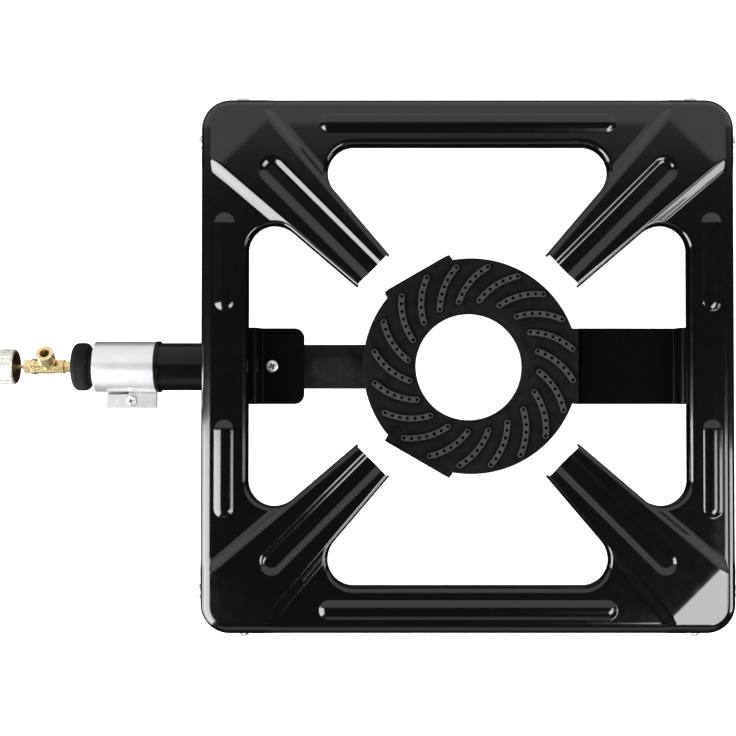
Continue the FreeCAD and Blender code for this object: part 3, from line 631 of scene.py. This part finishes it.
def port_ring(material):
    """Cast cap with swirl ribs and a row of drilled ports along each."""
    outer = cap_outline(RING_EDGE, RING_EDGE_STEP)
    around = np.arange(0, 360, 360 / RING_HOLE_SIDES)
    hole = np.array([polar(RING_HOLE_R + RING_EDGE, a) for a in around])
    rim = np.array([polar(PORT_R, 360 / PORT_SIDES * i) for i in range(PORT_SIDES)])
    ports = []
    for k in range(RIB_COUNT):
        places = turned(rib_line(PORT_COUNT), 360 / RIB_COUNT * k) + [RIB_SHIFT, 0]
        ports += [place + rim for place in places]
    skin = field([outer, hole] + ports, cap_height, RING_FLAT_STEP, RING_BEND_STEP)
    top_count = len(skin.points)
    top_faces = list(skin.faces)
    base = PLATE_Z - CAP_THICK
    low = skin.points * [1, 1, 0] + [0, 0, base]
    under = skin.add(low, np.tile([0, 0, -1.0], (top_count, 1)))
    skin.faces += [tuple(int(under[i]) for i in face) for face in top_faces]
    start = 0
    for loop, out in ((outer, sideways(outer, True)), (hole, -sideways(hole, True))):
        row = np.arange(start, start + len(loop))
        foot = edge_rows(skin, row, out, RING_EDGE, RING_EDGE, base, 0, True, rounds=5)
        skin.strip(under[row], foot, True)
        start += len(loop)
    for port in ports:
        row = np.arange(start, start + PORT_SIDES)
        inward = np.column_stack([unit(port.mean(0) - port), np.zeros(PORT_SIDES)])
        upper = skin.add(skin.points[row], inward)
        lower = skin.add(low[row], inward)
        skin.strip(upper, lower, True)
        start += PORT_SIDES
    skin.face_out()
    skin.points[:, 0] += RING_X
    return skin.piece("port_ring", material)


# Screws

def close_below(skin, row, z):
    """Flat end that faces down, from a closed row of points to the middle at height z."""
    end = skin.add(skin.points[row], np.tile([0, 0, -1.0], (len(row), 1)))
    middle = skin.add(np.array([[0, 0, z]]), np.array([[0, 0, -1.0]]))
    skin.faces += [(int(end[i]), int(end[i - 1]), int(middle[0])) for i in range(len(end))]


def screw_head(head_r, head):
    """Pan head with a cross recess, standing on z = 0."""
    rim = HEAD_RIM * head_r
    arm = CROSS_ARM * head_r
    half = CROSS_HALF * head_r

    def top(x, y):
        ax, ay = abs(x), abs(y)
        cross = np.minimum(np.maximum(ax - arm, ay - half), np.maximum(ay - arm, ax - half))
        recess = CROSS_DEPTH * head * ramp(-cross, 0.7 * half, 0.2 * half)
        return head * (1 - HEAD_DOME * (x * x + y * y) / (head_r - rim) ** 2) - recess

    circle = np.array([polar(head_r - rim, 360 / HEAD_SIDES * i) for i in range(HEAD_SIDES)])
    skin = field([circle], top, head_r / 6, head_r / 18)
    row = np.arange(len(circle))
    foot = edge_rows(skin, row, unit(circle), rim, HEAD_RIM_DROP * head, 0, 0, True, rounds=6)
    close_below(skin, foot, 0)
    skin.face_out()
    return skin


def screw_shank(radius, grip, pitch):
    """Shank with a rolled thread that runs out at both ends, hanging from z = 0."""
    depth = THREAD_DEPTH * pitch
    around = np.arange(THREAD_SIDES) * 2 * math.pi / THREAD_SIDES
    ring = np.stack([np.cos(around), np.sin(around)], axis=1)
    count = max(THREAD_ROWS, int(round(grip / pitch * THREAD_ROWS)))
    skin = Skin()
    before = None
    for k in range(count + 1):
        z = -grip * k / count
        wave = 2 * ((z / pitch - around / (2 * math.pi)) % 1) - 1
        fade = np.clip(min(-z, grip + z) / pitch, 0, 1)
        radii = radius - depth * (1 - abs(wave) * fade)
        slope = 2 * depth * fade * np.sign(wave) / pitch
        points = np.column_stack([ring * radii[:, None], np.full(len(around), z)])
        after = skin.add(points, unit(np.column_stack([ring, -slope])))
        if before is not None:
            skin.strip(before, after, True)
        before = after
    close_below(skin, before, -grip)
    skin.face_out()
    return skin


def screws(node, grip, places, material):
    """Threaded screws of a node; each place is a seat point and the head's direction."""
    size = SCREW_SIZES[node]
    one = screw_head(size.head_r, size.head)
    one.join(screw_shank(size.radius, grip, size.pitch))
    made = Skin()
    for k, (seat, way) in enumerate(places):
        aim = Vector(way).to_track_quat("Z", "Y").to_matrix().to_4x4()
        turn = Matrix.Rotation(FIRST_HEAD_TURN + NEXT_HEAD_TURN * k, 4, "Z")
        made.join(one, Matrix.Translation(seat) @ aim @ turn)
    piece = made.piece(node + "_threaded", material)
    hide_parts(node)
    return piece


# Materials

class Shader:
    """Node material with one principled shader, fed by textures in the row frame's metres."""

    def __init__(self, name, **settings):
        self.material = bpy.data.materials.new(name)
        self.material.use_nodes = True
        self.tree = self.material.node_tree
        self.tree.nodes.clear()
        self.base = self.tree.nodes.new("ShaderNodeBsdfPrincipled")
        out = self.tree.nodes.new("ShaderNodeOutputMaterial")
        self.tree.links.new(self.base.outputs[0], out.inputs[0])
        self.place = self.tree.nodes.new("ShaderNodeTexCoord").outputs["Object"]
        for key, value in settings.items():
            self.base.inputs[key.replace("_", " ")].default_value = value

    def noise(self, scale, detail=3.0, stretch=None):
        node = self.tree.nodes.new("ShaderNodeTexNoise")
        node.inputs["Scale"].default_value = scale
        node.inputs["Detail"].default_value = detail
        source = self.place
        if stretch:
            mapping = self.tree.nodes.new("ShaderNodeMapping")
            mapping.inputs["Scale"].default_value = stretch
            self.tree.links.new(source, mapping.inputs["Vector"])
            source = mapping.outputs[0]
        self.tree.links.new(source, node.inputs["Vector"])
        return node.outputs["Fac"]

    def spread(self, value, low, high, start=0.3, end=0.7):
        node = self.tree.nodes.new("ShaderNodeMapRange")
        node.inputs["From Min"].default_value = start
        node.inputs["From Max"].default_value = end
        node.inputs["To Min"].default_value = low
        node.inputs["To Max"].default_value = high
        self.tree.links.new(value, node.inputs["Value"])
        return node.outputs[0]

    def mix(self, factor, a, b):
        node = self.tree.nodes.new("ShaderNodeMix")
        node.data_type = "RGBA"
        self.tree.links.new(factor, node.inputs[0])
        for socket, value in ((node.inputs[6], a), (node.inputs[7], b)):
            if isinstance(value, tuple):
                socket.default_value = (*value, 1)
            else:
                self.tree.links.new(value, socket)
        return node.outputs[2]

    def past(self, axis, low, high):
        """0 below low and 1 above high along an axis, in metres."""
        node = self.tree.nodes.new("ShaderNodeSeparateXYZ")
        self.tree.links.new(self.place, node.inputs[0])
        return self.spread(node.outputs[axis], 0, 1, low, high)

    def near_line(self, y, z, low, high):
        """1 nearer than low and 0 farther than high from the line along X at y, z, in metres."""
        node = self.tree.nodes.new("ShaderNodeMapping")
        node.inputs["Location"].default_value = (0, -y, -z)
        node.inputs["Scale"].default_value = (0, 1, 1)
        self.tree.links.new(self.place, node.inputs["Vector"])
        far = self.tree.nodes.new("ShaderNodeVectorMath")
        far.operation = "LENGTH"
        self.tree.links.new(node.outputs[0], far.inputs[0])
        return self.spread(far.outputs["Value"], 1, 0, low, high)

    def shade(self, colour, reach, darkest, start, end):
        """Painted shade: colour made darker in corners and gaps narrower than reach, down to a share
        of itself.
        """
        node = self.tree.nodes.new("ShaderNodeAmbientOcclusion")
        node.samples = 8
        node.inputs["Distance"].default_value = reach
        share = self.spread(node.outputs["AO"], darkest, 1, start, end)
        scale = self.tree.nodes.new("ShaderNodeVectorMath")
        scale.operation = "SCALE"
        self.tree.links.new(colour, scale.inputs[0])
        self.tree.links.new(share, scale.inputs["Scale"])
        return scale.outputs["Vector"]

    def times(self, a, b):
        node = self.tree.nodes.new("ShaderNodeMath")
        node.operation = "MULTIPLY"
        self.tree.links.new(a, node.inputs[0])
        self.tree.links.new(b, node.inputs[1])
        return node.outputs[0]

    def feed(self, socket, value):
        self.tree.links.new(value, self.base.inputs[socket])

    def bump(self, *layers, edge=0.0):
        """Bump layers as (height, depth in metres), and a radius that softens a solid's corners."""
        normal = None
        if edge:
            node = self.tree.nodes.new("ShaderNodeBevel")
            node.samples = 6
            node.inputs["Radius"].default_value = edge
            normal = node.outputs[0]
        for height, depth in layers:
            node = self.tree.nodes.new("ShaderNodeBump")
            node.inputs["Strength"].default_value = 1.0
            node.inputs["Distance"].default_value = depth
            self.tree.links.new(height, node.inputs["Height"])
            if normal:
                self.tree.links.new(normal, node.inputs["Normal"])
            normal = node.outputs[0]
        self.feed("Normal", normal)


def enamel(name, edge=0.0):
    s = Shader(name, Coat_Weight=0.4, Coat_Roughness=0.05)
    tone = s.noise(45, 4)
    black = s.mix(s.spread(tone, 0, 1), (0.0006, 0.0006, 0.0007), (0.0011, 0.0011, 0.0012))
    s.feed("Base Color", black)
    s.feed("Roughness", s.spread(s.noise(130, 5), 0.12, 0.17))
    s.bump((s.noise(330, 2), 0.000012), edge=edge)
    return s.material


def satin(name, specular, edge=0.0):
    s = Shader(name)
    s.base.inputs["Specular IOR Level"].default_value = specular
    tone = s.noise(70, 5)
    black = s.mix(s.spread(tone, 0, 1), (0.0013, 0.0013, 0.0014), (0.0018, 0.0018, 0.0019))
    s.feed("Base Color", black)
    s.feed("Roughness", s.spread(s.noise(240, 4), 0.2, 0.24))
    s.bump((s.noise(900, 2), 0.000006), edge=edge)
    return s.material


def cast_iron(name, dark, light, rib_tops=False, edge=0.0):
    s = Shader(name)
    s.base.inputs["Specular IOR Level"].default_value = 0.05
    tone = s.spread(s.noise(160, 5), 0, 1)
    colour = s.mix(tone, (dark, dark, 1.03 * dark), (light, light, 1.03 * light))
    if rib_tops:
        worn = s.mix(s.spread(s.noise(420, 4), 0, 1), (0.034, 0.035, 0.036), (0.055, 0.056, 0.058))
        # Painted shade darkens the plate at the foot of the ribs and round the ports.
        plate = s.shade(colour, 0.015, 0.05, 0.78, 1.0)
        colour = s.mix(s.past("Z", WORN_FROM_Z * MM, WORN_FULL_Z * MM), plate, worn)
    s.feed("Base Color", colour)
    s.feed("Roughness", s.spread(s.noise(300, 3), 0.55, 0.75))
    s.bump((s.noise(380, 3), 0.00006), (s.noise(1300, 3), 0.00005), edge=edge)
    return s.material


def zinc(name, edge=0.0):
    s = Shader(name, Metallic=0.85)
    plate = s.mix(s.spread(s.noise(90, 5), 0, 1), (0.86, 0.87, 0.89), (0.93, 0.94, 0.96))
    # Painted shade darkens the plating in creases, slits and round the screw heads.
    s.feed("Base Color", s.shade(plate, 0.004, 0.06, 0.35, 0.8))
    s.feed("Roughness", s.spread(s.noise(260, 4, (1, 1, 0.12)), 0.3, 0.38))
    s.bump((s.noise(1500, 2, (1, 0.1, 0.1)), 0.000003), edge=edge)
    return s.material


def brass(name, edge=0.0):
    s = Shader(name, Metallic=0.86)
    metal = s.mix(s.spread(s.noise(150, 4), 0, 1), (0.94, 0.68, 0.31), (1.0, 0.83, 0.48))
    # Painted shade darkens the brass in creases and gaps.
    s.feed("Base Color", s.shade(metal, 0.004, 0.15, 0.3, 0.8))
    s.feed("Roughness", s.spread(s.noise(420, 4), 0.16, 0.24))
    s.bump((s.noise(1800, 2, (0.1, 1, 1)), 0.000002), edge=edge)
    return s.material


def nickel(name, edge=0.0):
    s = Shader(name, Metallic=0.8)
    outside = s.mix(s.spread(s.noise(120, 4), 0, 1), (0.84, 0.82, 0.77), (0.92, 0.90, 0.86))
    within = s.mix(s.spread(s.noise(260, 4), 0, 1), (0.11, 0.077, 0.046), (0.2, 0.145, 0.09))
    near = s.near_line(0, AXIS_Z * MM, KNOB_CUP_R * MM, (KNOB_CUP_R + KNOB_CUP_BLEND) * MM)
    past = s.past("X", (KNOB_CUP_X - KNOB_CUP_BLEND) * MM, KNOB_CUP_X * MM)
    s.feed("Base Color", s.mix(s.times(near, past), outside, within))
    s.feed("Roughness", s.spread(s.noise(350, 4), 0.24, 0.36))
    s.bump((s.noise(1500, 2, (0.1, 1, 1)), 0.000006), edge=edge)
    return s.material


def rubber(name):
    s = Shader(name)
    s.feed("Base Color", s.mix(s.noise(200, 4), (0.012, 0.012, 0.012), (0.024, 0.024, 0.024)))
    s.feed("Roughness", s.spread(s.noise(500, 3), 0.55, 0.75))
    s.bump((s.noise(1500, 2), 0.00002))
    return s.material


# Softened corners of the solids, in metres
SHEET_EDGE = 0.0004
CAST_EDGE = 0.0008
METAL_EDGE = 0.0003
looks = {
    "black_enamel": enamel("enamel_solid", SHEET_EDGE),
    "satin_black": satin("satin_strap", 0.15, SHEET_EDGE),
    "cast_iron": cast_iron("iron_solid", 0.0075, 0.0145, edge=CAST_EDGE),
    "zinc": zinc("zinc_solid", METAL_EDGE),
    "brass": brass("brass_solid", METAL_EDGE),
    "rubber": rubber("rubber_solid"),
    "nickel": nickel("nickel_solid", METAL_EDGE),
}
own_looks = {
    "mixing_tube": satin("satin_tube", 0.3, SHEET_EDGE),
    "mixer_head": cast_iron("iron_head", 0.009, 0.017, edge=CAST_EDGE),
}
for part in frame["record"]["subparts"]:
    mesh = nodes[part["node"]].data
    mesh.materials.clear()
    mesh.materials.append(own_looks.get(part["node"]) or looks[part["material_slot"]])

# Pieces that stand for solids

pressing = frame_shell(enamel("enamel_sheet"))
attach(pressing, "stove")
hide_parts("top_frame")

ring = port_ring(cast_iron("iron_ring", 0.004, 0.0095, rib_tops=True))
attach(ring, "stove")
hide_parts("burner_cap")

steel = zinc("zinc_screw")
low, high = (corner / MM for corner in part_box("neck_screw"))
seat_z = high.z - SCREW_SIZES["neck_screw"].head
places = [(((low.x + high.x) / 2, 0, seat_z), (0, 0, 1))]
neck_screw = screws("neck_screw", seat_z - low.z, places, steel)
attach(neck_screw, "stove")

low, high = (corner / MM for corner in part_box("shutter_screw"))
seat_z = high.z - SCREW_SIZES["shutter_screw"].head
places = [(((low.x + high.x) / 2, (low.y + high.y) / 2, seat_z), (0, 0, 1))]
tab_screw = screws("shutter_screw", seat_z - low.z, places, steel)
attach(tab_screw, "shutter")

low, high = (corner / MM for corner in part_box("leg_screws"))
middle_z = (low.z + high.z) / 2
places = []
for sx in (-1, 1):
    for sy in (-1, 1):
        on_side = (FRAME_X + sx * FRAME_HALF, sy * LEG_SCREW_ALONG, middle_z)
        on_front = (FRAME_X + sx * LEG_SCREW_ALONG, sy * FRAME_HALF, middle_z)
        places += [(on_side, (sx, 0, 0)), (on_front, (0, sy, 0))]
leg_screws = screws("leg_screws", LEG_SCREW_GRIP, places, steel)
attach(leg_screws, "stove")

low, high = (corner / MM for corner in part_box("strap_screws"))
middle_z = (low.z + high.z) / 2
seat_x = high.x - SCREW_SIZES["strap_screws"].head
head_r = SCREW_SIZES["strap_screws"].head_r
places = [((seat_x, y, middle_z), (1, 0, 0)) for y in (low.y + head_r, high.y - head_r)]
strap_screws = screws("strap_screws", seat_x - low.x, places, steel)
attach(strap_screws, "stove")

seat_x = knob_low.x + SCREW_SIZES["knob_screw"].head
screw_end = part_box("knob_screw")[1].x / MM
knob_screw = screws("knob_screw", screw_end - seat_x, [((seat_x, 0, AXIS_Z), (-1, 0, 0))], steel)
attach(knob_screw, "spindle")

# Floor, light and camera, in metres

FLOOR_SIZE = 12
bpy.ops.mesh.primitive_plane_add(size=FLOOR_SIZE, location=(0, 0, 0))
floor = bpy.context.object
floor.name = "floor"
pale = Shader("pale_floor", Roughness=0.9, Emission_Strength=0.75)
pale.base.inputs["Emission Color"].default_value = (1, 1, 1, 1)
pale.feed("Base Color", pale.mix(pale.noise(6, 3), (0.90, 0.90, 0.90), (0.93, 0.93, 0.93)))
floor.data.materials.append(pale.material)
floor.visible_glossy = False
floor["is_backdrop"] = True


def softbox(name, place, aim, width, height, radiance):
    """Rectangular light that looks equally bright at any size."""
    light = bpy.data.lights.new(name, "AREA")
    light.shape = "RECTANGLE"
    light.size, light.size_y = width, height
    light.energy = radiance * math.pi * width * height
    obj = bpy.data.objects.new(name, light)
    obj.location = place
    obj.rotation_euler = (Vector(aim) - Vector(place)).to_track_quat("-Z", "Y").to_euler()
    bpy.context.scene.collection.objects.link(obj)


FRAME_MID = (FRAME_X * MM, 0, RAIL_Z * MM)
# Place, aim, width, height and radiance of each light
lights = {
    "light_west": ((-0.9, -0.58, 0.715), (0, -0.58, 0.715), 1.04, 1.27, 10.5),
    "light_west_low": ((-0.9, -0.58, -0.135), (0, -0.58, -0.135), 1.04, 0.43, 4.2),
    "light_east": ((0.95, -0.27, 0.25), (0, -0.27, 0.25), 0.36, 0.42, 6.5),
    "light_east_high": ((0.9, -0.24, 1.0), (0.9, -0.24, 0), 0.46, 0.32, 6.5),
    "light_south_east": ((0.68, -0.58, 1.02), FRAME_MID, 0.55, 0.45, 9.5),
}
for name, settings in lights.items():
    softbox(name, *settings)

world = bpy.data.worlds.new("studio")
world.use_nodes = True
bpy.context.scene.world = world
tree = world.node_tree
back = tree.nodes["Background"]
ways = tree.nodes.new("ShaderNodeSeparateXYZ")
tree.links.new(tree.nodes.new("ShaderNodeTexCoord").outputs["Generated"], ways.inputs[0])


def world_range(value, low, high, start, end):
    """Brightness from low to high while the direction goes from start to end."""
    node = tree.nodes.new("ShaderNodeMapRange")
    node.interpolation_type = "SMOOTHSTEP"
    node.inputs["From Min"].default_value = start
    node.inputs["From Max"].default_value = end
    node.inputs["To Min"].default_value = low
    node.inputs["To Max"].default_value = high
    tree.links.new(value, node.inputs["Value"])
    return node.outputs[0]


def world_math(kind, a, b):
    node = tree.nodes.new("ShaderNodeMath")
    node.operation = kind
    tree.links.new(a, node.inputs[0])
    tree.links.new(b, node.inputs[1])
    return node.outputs[0]


# The rear wall is bright and the front one dimmer; seen directly, all of it is plain white
north = world_range(ways.outputs["Y"], 0.06, 0.85, 0.15, 0.26)
north = world_math("MULTIPLY", north, world_range(ways.outputs["Z"], 0.1, 1.0, -0.45, -0.25))
south = world_range(ways.outputs["Y"], 0.5, 0.0, -0.9, -0.8)
south = world_math("MULTIPLY", south, world_range(ways.outputs["Z"], 0.1, 1.0, -0.1, 0.05))
plain = tree.nodes.new("ShaderNodeLightPath").outputs["Is Camera Ray"]
strength = world_math("MAXIMUM", world_math("ADD", north, south), plain)
tree.links.new(strength, back.inputs["Strength"])
back.inputs["Color"].default_value = (1, 1, 1, 1)

# The camera stands above the frame, at the distance that gives the photo's scale at its outline
SENSOR = 36.0
LENS = 65.1
IMAGE = 736
PIXELS_PER_MM = 1.331
SILHOUETTE_Z = RAIL_Z - OUTER_ROUND
CAMERA_LEFT = 0.040
CAMERA_TILT = math.radians(1.2)
CAMERA_SHIFT = (-0.0629, -0.0031)
away = IMAGE * LENS / SENSOR / PIXELS_PER_MM * MM
camera_data = bpy.data.cameras.new("camera")
camera_data.sensor_width = SENSOR
camera_data.lens = LENS
camera_data.shift_x, camera_data.shift_y = CAMERA_SHIFT
camera = bpy.data.objects.new("camera", camera_data)
camera.location = (
    FRAME_X * MM - CAMERA_LEFT,
    -math.sin(CAMERA_TILT) * away,
    SILHOUETTE_Z * MM + math.cos(CAMERA_TILT) * away,
)
camera.rotation_euler = (CAMERA_TILT, 0, 0)
bpy.context.scene.collection.objects.link(camera)
bpy.context.scene.camera = camera
bpy.context.scene.view_settings.view_transform = "Standard"

low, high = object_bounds()
